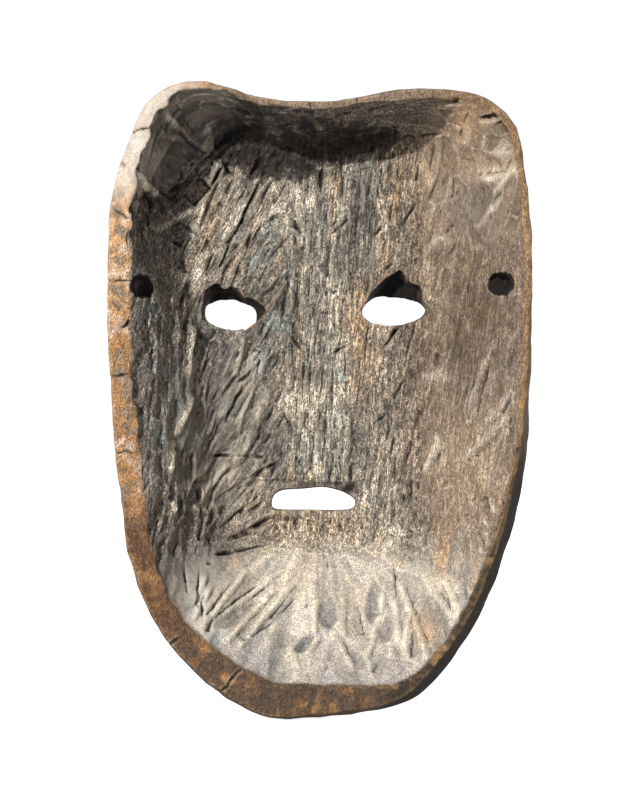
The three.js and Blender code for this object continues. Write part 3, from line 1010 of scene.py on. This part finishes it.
def painted_shade_in_holes():
    """Painted shade: 1 in the pockets behind the eyes, in the tie holes and on the ceiling of the mouth.
    """
    hole_shade = np.zeros(len(bare))
    for eye_x, eye_z, reach_x, reach_z in EYE_POCKETS:
        away = np.hypot((x - eye_x) / reach_x, (z - eye_z) / reach_z)
        bends = np.stack([np.ones(len(x)), x, z, x * x, x * z, z * z], axis=1)
        around = (away > 1) & (away < 1.3) & (hollow > 0.9)
        fitted = np.linalg.lstsq(bends[around], bare[around, 1], rcond=None)[0]
        sunk = ramp(bare[:, 1] - bends @ fitted, -0.8, -2.0) * (away < 1.1)
        sunk *= ramp(bare[:, 1], -66, -60) * ramp(normals[:, 1], -0.5, -0.2)
        # Pocket walls that face up or towards the light get less of the painted shade.
        lower_wall = ramp(normals[:, 2], 0.2, 0.6) + ramp(normals[:, 0] * -np.sign(eye_x), 0.5, 0.8)
        hole_shade += sunk * (1 - 0.6 * np.clip(lower_wall, 0, 1))
    over_mouth = (np.abs(x - 2.6) < 22) & (np.abs(z + 87) < 9) & (bare[:, 1] < -40)
    hole_shade += over_mouth * ramp(normals[:, 2], -0.3, -0.7)
    for hole_x, hole_z, sunk, way in TIE_HOLES:
        to_axis = np.stack([hole_x - x, hole_z - z], axis=1)
        radius = np.hypot(*to_axis.T)
        facing_axis = np.sum(to_axis * normals[:, [0, 2]], axis=1) > 0.4 * radius
        hole_shade += (radius < PAINTED_SHADE_RADIUS) & (bare[:, 1] > -19) & (facing_axis | (radius < 3.4))
        from_turn = bare - (hole_x, TIE_RADIUS - sunk, hole_z)
        along = from_turn @ np.array(way)
        off_line = np.linalg.norm(from_turn - along[:, None] * way, axis=1)
        hole_shade += (off_line < PAINTED_SHADE_RADIUS) & (along > -1) & (along < 8)
    return np.clip(hole_shade, 0, 1)


# Painted shade in the eye pockets, the tie holes and over the mouth.
painted_hole_shade = painted_shade_in_holes()
in_corner = by_corner * ramp(beyond_corner, 0, 3)


def hollow_pigment():
    """The wood inside: grey and tan fibres, dark on the left, cream in the bowl, warm on the right, with
    painted shade in cracks and beside ridges, and a painted highlight at the bottom rim.
    """
    fibres = fibre_noise((4, 20, 50), 3, 61)
    thin_fibres = fibre_noise((3, 20, 40), 2, 62)
    cool = layered(bare, (7, 20, 14), 3, 63)
    cloud = layered(bare, (9, 20, 17), 4, 60)
    raised = streaks * on_floor
    warm = ramp(x, -20, -46) * ramp(z, -112, -90)
    low_left = ramp(x + 0.25 * z, 4, 20) * ramp(z, 10, -12) * ramp(z + 0.5 * x, -100, -78)
    wall_left = ramp(x, 46, 58) * ramp(z, -150, -120)
    corner = ramp(x * 0.8 + z * 0.6, 62, 76) * ramp(z, -20, 10)
    upper_left = 0.35 * ramp(x, 14, 34) * ramp(z, -12, 10)
    dark = np.maximum.reduce([low_left, wall_left, corner, upper_left])
    top_wall = ramp(z + 0.05 * np.abs(x), 60, 66) * ramp(x, -50, -36)
    curve = np.where(x < 5, 0.006, 0.014) * (x - 5) ** 2
    bowl = ramp(z + curve + 4 * layered(bare, 14, 2, 66), -95, -110)
    in_cut = ramp(gouges.depth, 0.5, 2.4) * ramp(gouges.tone, -0.6, 0.6)
    leaf = ramp(leaves.depth, 0.1, 1.1)
    crest = ridge_crest * (1 - 0.45 * ramp(x, -50, -60)) * (1 - 0.3 * in_middle)
    coats = [
        (TAN_WOOD, ramp(fibres, -0.1, 0.4) * 0.9),
        (ORANGE_WOOD, ramp(thin_fibres, 0.3, 0.6) * 0.6 * ramp(x, 30, 0)),
        (BLUISH, ramp(cool, 0.34, 0.6) * 0.6 * ramp(x, -36, -20)),
        (CREAM, ramp(cloud, 0.14, 0.3) * 0.5 * ramp(x, -50, -30)),
        (SLATE, ramp(cloud, -0.14, -0.3) * 0.6),
        (CREAM, ramp(raised, 0.08, 0.5) * 0.5),
        (SLATE, ramp(raised, -0.08, -0.5) * 0.6),
        (WARM_WOOD, 0.85 * warm),
        (SLATE, dark * (0.72 + 0.4 * layered(bare, (8, 12, 24), 2, 65))),
        (SLATE, 0.65 * top_wall),
        (CREAM, bowl * (0.82 - 0.2 * ramp(z, -118, -140))),
        (LILAC, bowl * np.clip(in_cut + 0.6 * ramp(z, -122, -146), 0, 1) * 0.9),
        (LEAF_GREY, in_bowl * ramp(fan, -0.1, -0.5) * 0.55),
        (PALE_EDGE_AND_HIGHLIGHT, in_bowl * ramp(fan, 0.12, 0.5) * 0.6 * ramp(x, 40, 30)),
        (LEAF_GREY, leaf * (0.55 + 0.3 * leaves.tone + 0.6 * fan)),
        # A painted shadow at the foot of each ridge's steep side.
        (SLATE, ridge_painted_shadow * 0.3),
        (PALE_EDGE_AND_HIGHLIGHT, crest * (0.9 + 0.5 * layered(bare, 6, 2, 64))),
        # A painted highlight along the rim's inner edge at the bottom.
        (PALE_EDGE_AND_HIGHLIGHT, by_rim**3 * ramp(z, -124, -142) * 0.8),
    ]
    pigment = paint(GREY_WOOD, coats)

    # Each facet has a tone of its own; in the upper left corner the stronger contrast and the lightening
    # are painted light and shade, for facets that catch the light differently.
    tone_and_shade_contrast = 0.22 + 0.3 * in_corner
    facet_tone_and_shade = 1 + tone_and_shade_contrast * gouges.tone * ramp(gouges.depth, 0.2, 0.7) * (1 - in_middle * 0.5)
    pigment *= (facet_tone_and_shade * (1 + 0.5 * in_corner))[:, None]

    pale = ridges * (0.4 + 0.6 * in_corner) * (1 - 0.5 * in_middle) * (1 - in_bowl)
    # Painted shade in the tears, creases, pits and scars.
    painted_crack_shade = np.clip(tears.depth / 1.3, 0, 1) + 0.6 * creases + 0.5 * pits + 0.3 * scars
    broken = torn_edge * ramp(layered(bare, 3.4, 2, 69), 0.05, 0.25)
    burnt = ramp(charred + 0.7 * layered(bare, 3.4, 3, 68), 0.3, 0.5) * charred**0.3
    coats = [
        (PALE_EDGE_AND_HIGHLIGHT, pale * (0.7 + 0.8 * layered(bare, 6, 2, 67))),
        (SOOT_AND_SHADE, painted_crack_shade * 0.9),
        (SOOT_AND_SHADE, broken * 0.8),
        (SOOT_AND_SHADE, 0.93 * burnt),
        (UMBER, burnt * ramp(layered(bare, (2.2, 2.2, 3), 3, 70), 0.2, 0.5) * 0.7),
    ]
    return paint(pigment, coats)


# Stains, with painted shade in the soot rows over the upper left corner, above the eyes and along the
# mouth, and a painted sheen in the silver rows: x, z, reach in x, reach in z, how strong, colour.
STAINS_AND_PAINTED_LIGHT = [
    # Soot and painted shade over the top band and the upper left corner, in the next three rows.
    (30, 66, 26, 7, 0.75, SOOT_AND_SHADE),
    (58, 60, 14, 10, 0.45, SOOT_AND_SHADE),
    (60, 34, 12, 22, 0.35, SOOT_AND_SHADE),
    (3, -35, 10, 3.5, 0.8, SLATE),
    (13, -56, 5, 3, 0.7, SLATE),
    (21, -66, 6, 14, 0.7, SLATE),
    (-18, -46, 5, 12, 0.4, SLATE),
    # The next two rows are painted shade in the pockets above the eyes.
    (38, -2, 13, 6, 0.45, SOOT_AND_SHADE),
    (-29, 4, 12, 7, 0.55, SOOT_AND_SHADE),
    (-4, -92, 8, 3, 0.3, SOOT_AND_SHADE),
    (-35, -90, 14, 8, 0.35, SLATE),
    (-10, -99, 7, 4, 0.4, SLATE),
    (-30, -25, 5, 6, 0.7, SLATE),
    (-60, 36, 7, 7, 0.4, SLATE),
    (-74, 61, 5, 4, 0.8, SOOT_AND_SHADE),
    (-55, -30, 4, 9, 0.4, SLATE),
    (22, -14.5, 2.8, 3, 0.8, BLUISH),
    (24, -31, 2.2, 4, 0.6, BLUISH),
    (-9, -35.5, 2.4, 1.8, 0.8, BLUISH),
    (-7, -53, 2.4, 3, 0.6, BLUISH),
    (6, -67, 7, 8, 0.45, BLUISH),
    (69, -54, 4, 2.5, 0.6, BLUISH),
    (63, -60, 2.4, 5, 0.6, BLUISH),
    (39, -48, 3, 3, 0.5, BLUISH),
    (52, -60, 3, 4, 0.5, BLUISH),
    # A silver patch of painted sheen.
    (26, -30, 2.6, 6, 0.6, PAINTED_SHEEN),
    (27, 12, 4, 3, 0.6, BLUISH),
    (22, 24, 3, 3, 0.4, BLUISH),
    (48, 10, 4, 14, 0.4, TAN_WOOD),
    (18, -13, 5, 4, 0.5, BLUISH),
    (63, -33, 5, 3, 0.45, BLUISH),
    (57, -44, 2.5, 9, 0.4, BLUISH),
    (68, -10, 5, 4, 0.4, BLUISH),
    (44, -117, 8, 9, 0.5, CREAM),
    (30, -35, 3, 8, 0.5, CREAM),
    (45, 28, 5, 12, 0.5, TAN_WOOD),
    (-64, 47, 12, 6, 0.4, TAN_WOOD),
    (-58, 66, 5, 9, 0.7, ORANGE_WOOD),
    (-45, -2, 5, 12, 0.4, TAN_WOOD),
    (-16, -28, 4, 16, 0.5, ORANGE_WOOD),
    (-18, -6, 7, 9, 0.5, ORANGE_WOOD),
    (10, -46, 14, 6, 0.75, CREAM),
    (-15, -14, 6, 4, 0.5, ORANGE_WOOD),
    (-48, -36, 6, 2.5, 0.5, CREAM),
    (-2, -62, 10, 16, 0.3, CREAM),
    (-41, -136, 5, 6, 0.7, ORANGE_WOOD),
    # A silver patch of painted sheen.
    (48, -121, 6, 12, 0.45, PAINTED_SHEEN),
    (36, -54, 17, 28, 0.45, DARK_SLATE),
    (52, -66, 9, 24, 0.3, DARK_SLATE),
    (2, -97, 24, 8, 0.5, BISCUIT),
    (40, -112, 12, 9, 0.3, SLATE),
    (57, -108, 7, 16, 0.5, SLATE),
    (-73, -28, 4, 9, 0.5, SLATE),
    (-62, -14, 19, 36, 0.6, UMBER),
    (-58, -78, 14, 20, 0.4, TAN_WOOD),
    (-57, 30, 12, 14, 0.3, SLATE),
    # A silver patch of painted sheen.
    (41, -138, 4, 5, 0.5, PAINTED_SHEEN),
    (-73, 63, 4.5, 2.2, 0.75, SOOT_AND_SHADE),
    (-67, 64, 8, 2.5, 0.5, TAN_WOOD),
    (-44, 48, 8, 13, 0.4, TAN_WOOD),
    (-69, 45, 6, 2, 0.5, CREAM),
    (-79, 37, 3, 5, 0.5, SLATE),
    # The next two rows are a painted shadow along the mouth's top edge.
    (0, -80.6, 15, 1.4, 0.75, SOOT_AND_SHADE),
    (-12, -82.5, 4, 2.6, 0.7, SOOT_AND_SHADE),
]


low_right = ramp(x, -16, -34) * ramp(z, -50, -80)


def rim_pigment():
    """The rim: pale at the upper left, orange down the left, rusty at the foot, golden on the right."""
    mottle = layered(turned(bare, 37), (4.2, 4.2, 5), 3, 71)
    spots = layered(turned(bare, 28), (9, 9, 5), 5, 72)
    clusters = ramp(layered(bare, 22, 2, 76), -0.35, 0.25)
    rusty = ramp(z, -78, -100)
    orange = rusty * clusters * ramp(spots, 0.05, 0.7) * (0.55 - 0.2 * ramp(z, -116, -134))
    golden = ramp(x, -30, -46) * ramp(z, 78, 66)
    bevel = low_right * (1 - inner_edge * ramp(z, -120, -100))
    coats = [
        (RIM_PEACH, ramp(z, -24, 6) * ramp(z, 50, 30) * (0.7 + 0.5 * mottle)),
        (RIM_PALE, ramp(mottle, 0.05, 0.45) * 0.45 * ramp(z, -100, -60)),
        (RIM_GREY, ramp(mottle, -0.08, -0.35) * 0.8),
        (RIM_RUST, rusty * ramp(mottle, 0.95, -0.05)),
        (RIM_BROWN, ramp(z, -126, -148) * ramp(mottle, 0.85, -0.1) * 0.7),
        (RIM_ORANGE, orange),
        (RIM_PALE, ramp(z, 26, 46) * ramp(x, 40, 60) * (0.85 + 0.3 * mottle)),
        (RIM_GREY, ramp(x, 50, 30) * ramp(z, 55, 66) * 0.85),
        (RIM_RUST, ramp(spots, -0.4, -0.65) * 0.7),
        (GOLD, golden * (0.8 + 0.4 * mottle)),
        (RIM_BROWN, golden * (1 - inner_edge) * 0.6),
        (BEVEL, bevel * 0.92),
        (GOLD, bevel * ramp(spots, 0.25, 0.5) * 0.6),
        # Painted shade in the rim's cracks, the darker the deeper.
        (SOOT_AND_SHADE, np.clip(rim_cracks.depth, 0, 1) * 0.85),
    ]
    return paint(RIM_ORANGE, coats)


def outside_pigment():
    """The outside: a dark, handled patina, worn to bare wood on what stands out."""
    patch = layered(bare, (16, 16, 28), 3, 73)
    worn = ramp(-broad_dip, 0.25, 1.2) + ramp(-fine_dip, 0.1, 0.4) * 0.7
    coats = [
        (CHESTNUT, ramp(patch, -0.2, 0.45) * 0.85),
        (WORN, worn * (0.55 + 0.6 * patch)),
    ]
    return paint(PATINA, coats)


blotchy = 1 + 0.9 * layered(bare, (5, 5, 8), 3, 75)
stain_and_light_coats = (
    (colour, strength * blob(bare, spot_x, spot_z, reach_x, reach_z) * blotchy * hollow)
    for spot_x, spot_z, reach_x, reach_z, strength, colour in STAINS_AND_PAINTED_LIGHT
)
stained_with_painted_light = paint(hollow_pigment(), stain_and_light_coats)
rim_share = np.clip(skin.mean(rim, 1), 0, 1)
by_back = rim_share + 0.75 * outer_side * ramp(bare[:, 1], -14, -3)
chamfer = low_right * (1 - hollow) * (1 - rim_share) * ramp(bare[:, 1], -14, -9)
worn_edge = np.clip(-cavity, 0, 1) * (rim_share * 0.5 + front * sharp_edges)
coats = [
    (stained_with_painted_light, hollow),
    (rim_pigment(), by_back),
    (BEVEL, chamfer * 0.85),
    (GOLD, worn_edge * 0.8),
    # Painted shade in the holes and pockets.
    (SOOT_AND_SHADE, painted_hole_shade),
]
pigment = paint(outside_pigment(), coats)

silvery = ramp(x, 36, 43) * ramp(z, -106, -112) * hollow
dark_left = hollow * ramp(x, 20, 44) * ramp(z, 30, -10)
polish = np.clip(front + rim_share * 0.45 + 0.55 * dark_left + 0.4 * silvery, 0, 1)
polish *= 1 - 0.7 * chamfer
dusty = np.clip(hollow * (1 - 1.5 * charred) * (1 - painted_hole_shade) + 0.8 * rim_share, 0, 1)
dusty = dusty * np.clip(pigment.mean(1) / 0.16, 0.15 + 0.5 * by_corner, 1)

# Where the wood is cut clean and smooth, its texture is fainter.
upper_right = ramp(x, -36, -48) * ramp(z, 0, 24)
planks = 0.6 * blob(bare, 33, -47, 11, 22) + 0.6 * blob(bare, 50, -58, 10, 24)
planks += 0.5 * blob(bare, 40, -80, 12, 12)
right_side = ramp(x, -34, -50)
smooth_cut = np.maximum.reduce(
    [0.4 * in_bowl, 0.7 * silvery, planks, 0.6 * in_corner, 0.35 * right_side, 0.55 * upper_right]
)
pale_rim = ramp(z, 10, 40) * ramp(x, 36, 56)
weathering = hollow * (1 - smooth_cut) + (0.75 - 0.5 * pale_rim) * rim_share + 0.25 * front
fibrous = hollow * (1 - 0.6 * smooth_cut) * (1 - 0.7 * in_bowl) + 0.2 * rim_share + 0.2 * front


def store(name, values, kind="FLOAT"):
    """Keeps one value, or one colour, for each vertex, for the material to read."""
    layer = piece.data.attributes.new(name, kind, "POINT")
    if kind == "FLOAT":
        layer.data.foreach_set("value", values.astype(np.float32))
    else:
        opaque = np.concatenate([values, np.ones((len(values), 1))], axis=1)
        layer.data.foreach_set("color", opaque.astype(np.float32).ravel())


skin.write()
store("pigment", np.clip(pigment, 0, 1), "FLOAT_COLOR")
store("cavity", cavity)
store("polish", polish)
store("lean", on_left * hollow)
store("dusty", dusty)
store("weathering", np.clip(weathering, 0, 1))
store("fibrous", np.clip(fibrous, 0, 1))


# ---------------------------------------------------------------- the material


class Nodes:
    """A short way to lay out shader nodes."""

    def __init__(self, material):
        self.tree = material.node_tree
        self.shader = self.tree.nodes["Principled BSDF"]

    def add(self, kind, **settings):
        node = self.tree.nodes.new(kind)
        for key, value in settings.items():
            setattr(node, key, value)
        return node

    def link(self, source, target):
        self.tree.links.new(source, target)

    def attribute(self, name, output="Fac"):
        return self.add("ShaderNodeAttribute", attribute_name=name).outputs[output]

    def math(self, operation, first, second=0.0):
        """One operation on two sockets or numbers."""
        node = self.add("ShaderNodeMath", operation=operation)
        for socket, value in zip(node.inputs, (first, second)):
            if isinstance(value, (int, float)):
                socket.default_value = value
            else:
                self.link(value, socket)
        return node.outputs[0]

    def times(self, first, second):
        return self.math("MULTIPLY", first, second)

    def plus(self, first, second):
        return self.math("ADD", first, second)

    def noise(self, vector, per_mm, detail, roughness, lean=0):
        """Noise over object coordinates in metres, with so many grains per mm on each axis, leaning."""
        turn = self.add("ShaderNodeMapping", vector_type="TEXTURE")
        turn.inputs["Rotation"].default_value = (0, math.radians(-lean), 0)
        self.link(vector, turn.inputs["Vector"])
        mapping = self.add("ShaderNodeMapping")
        mapping.inputs["Scale"].default_value = [value / MM for value in per_mm]
        self.link(turn.outputs[0], mapping.inputs["Vector"])
        node = self.add("ShaderNodeTexNoise")
        node.inputs["Scale"].default_value = 1.0
        node.inputs["Detail"].default_value = detail
        node.inputs["Roughness"].default_value = roughness
        self.link(mapping.outputs[0], node.inputs["Vector"])
        return node.outputs["Fac"]

    def spread(self, value, low, high, to_low=0.0, to_high=1.0):
        node = self.add("ShaderNodeMapRange", interpolation_type="SMOOTHSTEP")
        settings = zip(("From Min", "From Max", "To Min", "To Max"), (low, high, to_low, to_high))
        for name, number in settings:
            node.inputs[name].default_value = number
        self.link(value, node.inputs["Value"])
        return node.outputs["Result"]

    def mix(self, factor, first, second, data_type="RGBA"):
        node = self.add("ShaderNodeMix", data_type=data_type)
        first_socket = {"RGBA": 6, "FLOAT": 2}[data_type]
        sockets = (node.inputs[0], node.inputs[first_socket], node.inputs[first_socket + 1])
        for socket, value in zip(sockets, (factor, first, second)):
            if isinstance(value, (int, float)):
                socket.default_value = value
            elif isinstance(value, (tuple, list, np.ndarray)):
                socket.default_value = (*value, 1)
            else:
                self.link(value, socket)
        return node.outputs[{"RGBA": 2, "FLOAT": 0}[data_type]]


def aged_wood():
    """Weathered carved wood: pigment from the mesh, then fibres, specks, pits, dust and painted shade in
    crevices.
    """
    material = bpy.data.materials.new("aged_wood")
    material.use_nodes = True
    n = Nodes(material)
    place = n.add("ShaderNodeTexCoord").outputs["Object"]
    hollows = n.attribute("cavity")
    weathered = n.attribute("weathering")
    fibrousness = n.attribute("fibrous")

    upright = n.noise(place, (1.2, 1.2, 0.12), 4, 0.75, lean=6)
    leaning = n.noise(place, (1.2, 1.2, 0.12), 4, 0.75, lean=27)
    fibres = n.mix(n.attribute("lean"), upright, leaning, "FLOAT")
    specks = n.noise(place, (2.4, 2.4, 1.1), 2, 0.8, lean=14)
    blots = n.noise(place, (0.55, 0.55, 0.42), 4, 0.8)
    patches = n.noise(place, (0.3, 0.3, 0.2), 3, 0.7)

    shade = n.mix(fibrousness, 1.0, n.spread(fibres, 0.36, 0.64, 0.42, 1.68), "FLOAT")
    grain = n.spread(specks, 0.36, 0.64, 0.28, 1.95)
    mottle = n.spread(blots, 0.3, 0.7, 0.72, 1.3)
    cloudy = n.spread(patches, 0.3, 0.7, 0.84, 1.18)
    factor = n.times(n.times(shade, grain), n.times(mottle, cloudy))
    softened = n.mix(weathered, 1.0, factor, "FLOAT")
    scale = n.add("ShaderNodeVectorMath", operation="SCALE")
    n.link(n.attribute("pigment", "Color"), scale.inputs[0])
    n.link(softened, scale.inputs["Scale"])
    colour = scale.outputs["Vector"]

    # Thin dark splits run along the fibres wherever their noise crosses its middle.
    off_middle = n.math("ABSOLUTE", n.math("SUBTRACT", fibres, 0.5))
    splits = n.spread(off_middle, 0.0, 0.035, 1.0, 0.0)
    splits = n.times(splits, n.spread(blots, 0.56, 0.46))
    splits = n.times(splits, fibrousness)
    colour = n.mix(n.times(splits, 0.6), colour, GRIME_AND_SHADE)

    # Painted shade: the hollows of the surface are darkened.
    painted_crevice_shade = n.spread(hollows, 0.2, 1.0, 0.0, 0.85)
    colour = n.mix(painted_crevice_shade, colour, GRIME_AND_SHADE)
    dust = n.times(n.spread(hollows, -0.15, -0.8, 0.0, 0.4), n.attribute("dusty"))
    colour = n.mix(dust, colour, DUST)
    pinholes = n.times(n.spread(blots, 0.36, 0.3, 0.0, 0.75), weathered)
    colour = n.mix(pinholes, colour, GRIME_AND_SHADE)
    n.link(colour, n.shader.inputs["Base Color"])

    roughness = n.spread(n.attribute("polish"), 0.0, 1.0, 0.85, 0.55)
    uneven = n.spread(specks, 0.3, 0.7, -0.08, 0.08)
    n.link(n.plus(roughness, uneven), n.shader.inputs["Roughness"])

    height = n.times(n.times(fibres, fibrousness), 1.1)
    height = n.plus(height, n.times(specks, 0.5))
    height = n.plus(height, n.times(blots, 1.2))
    height = n.math("SUBTRACT", height, n.times(splits, 0.25))
    bump = n.add("ShaderNodeBump")
    bump.inputs["Distance"].default_value = 1.0 * MM
    n.link(n.spread(weathered, 0.0, 1.0, 0.1, 1.0), bump.inputs["Strength"])
    n.link(height, bump.inputs["Height"])
    n.link(bump.outputs[0], n.shader.inputs["Normal"])
    return material


piece.data.materials.append(aged_wood())
piece.data.shade_smooth()

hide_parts("mask")
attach(piece, "root")
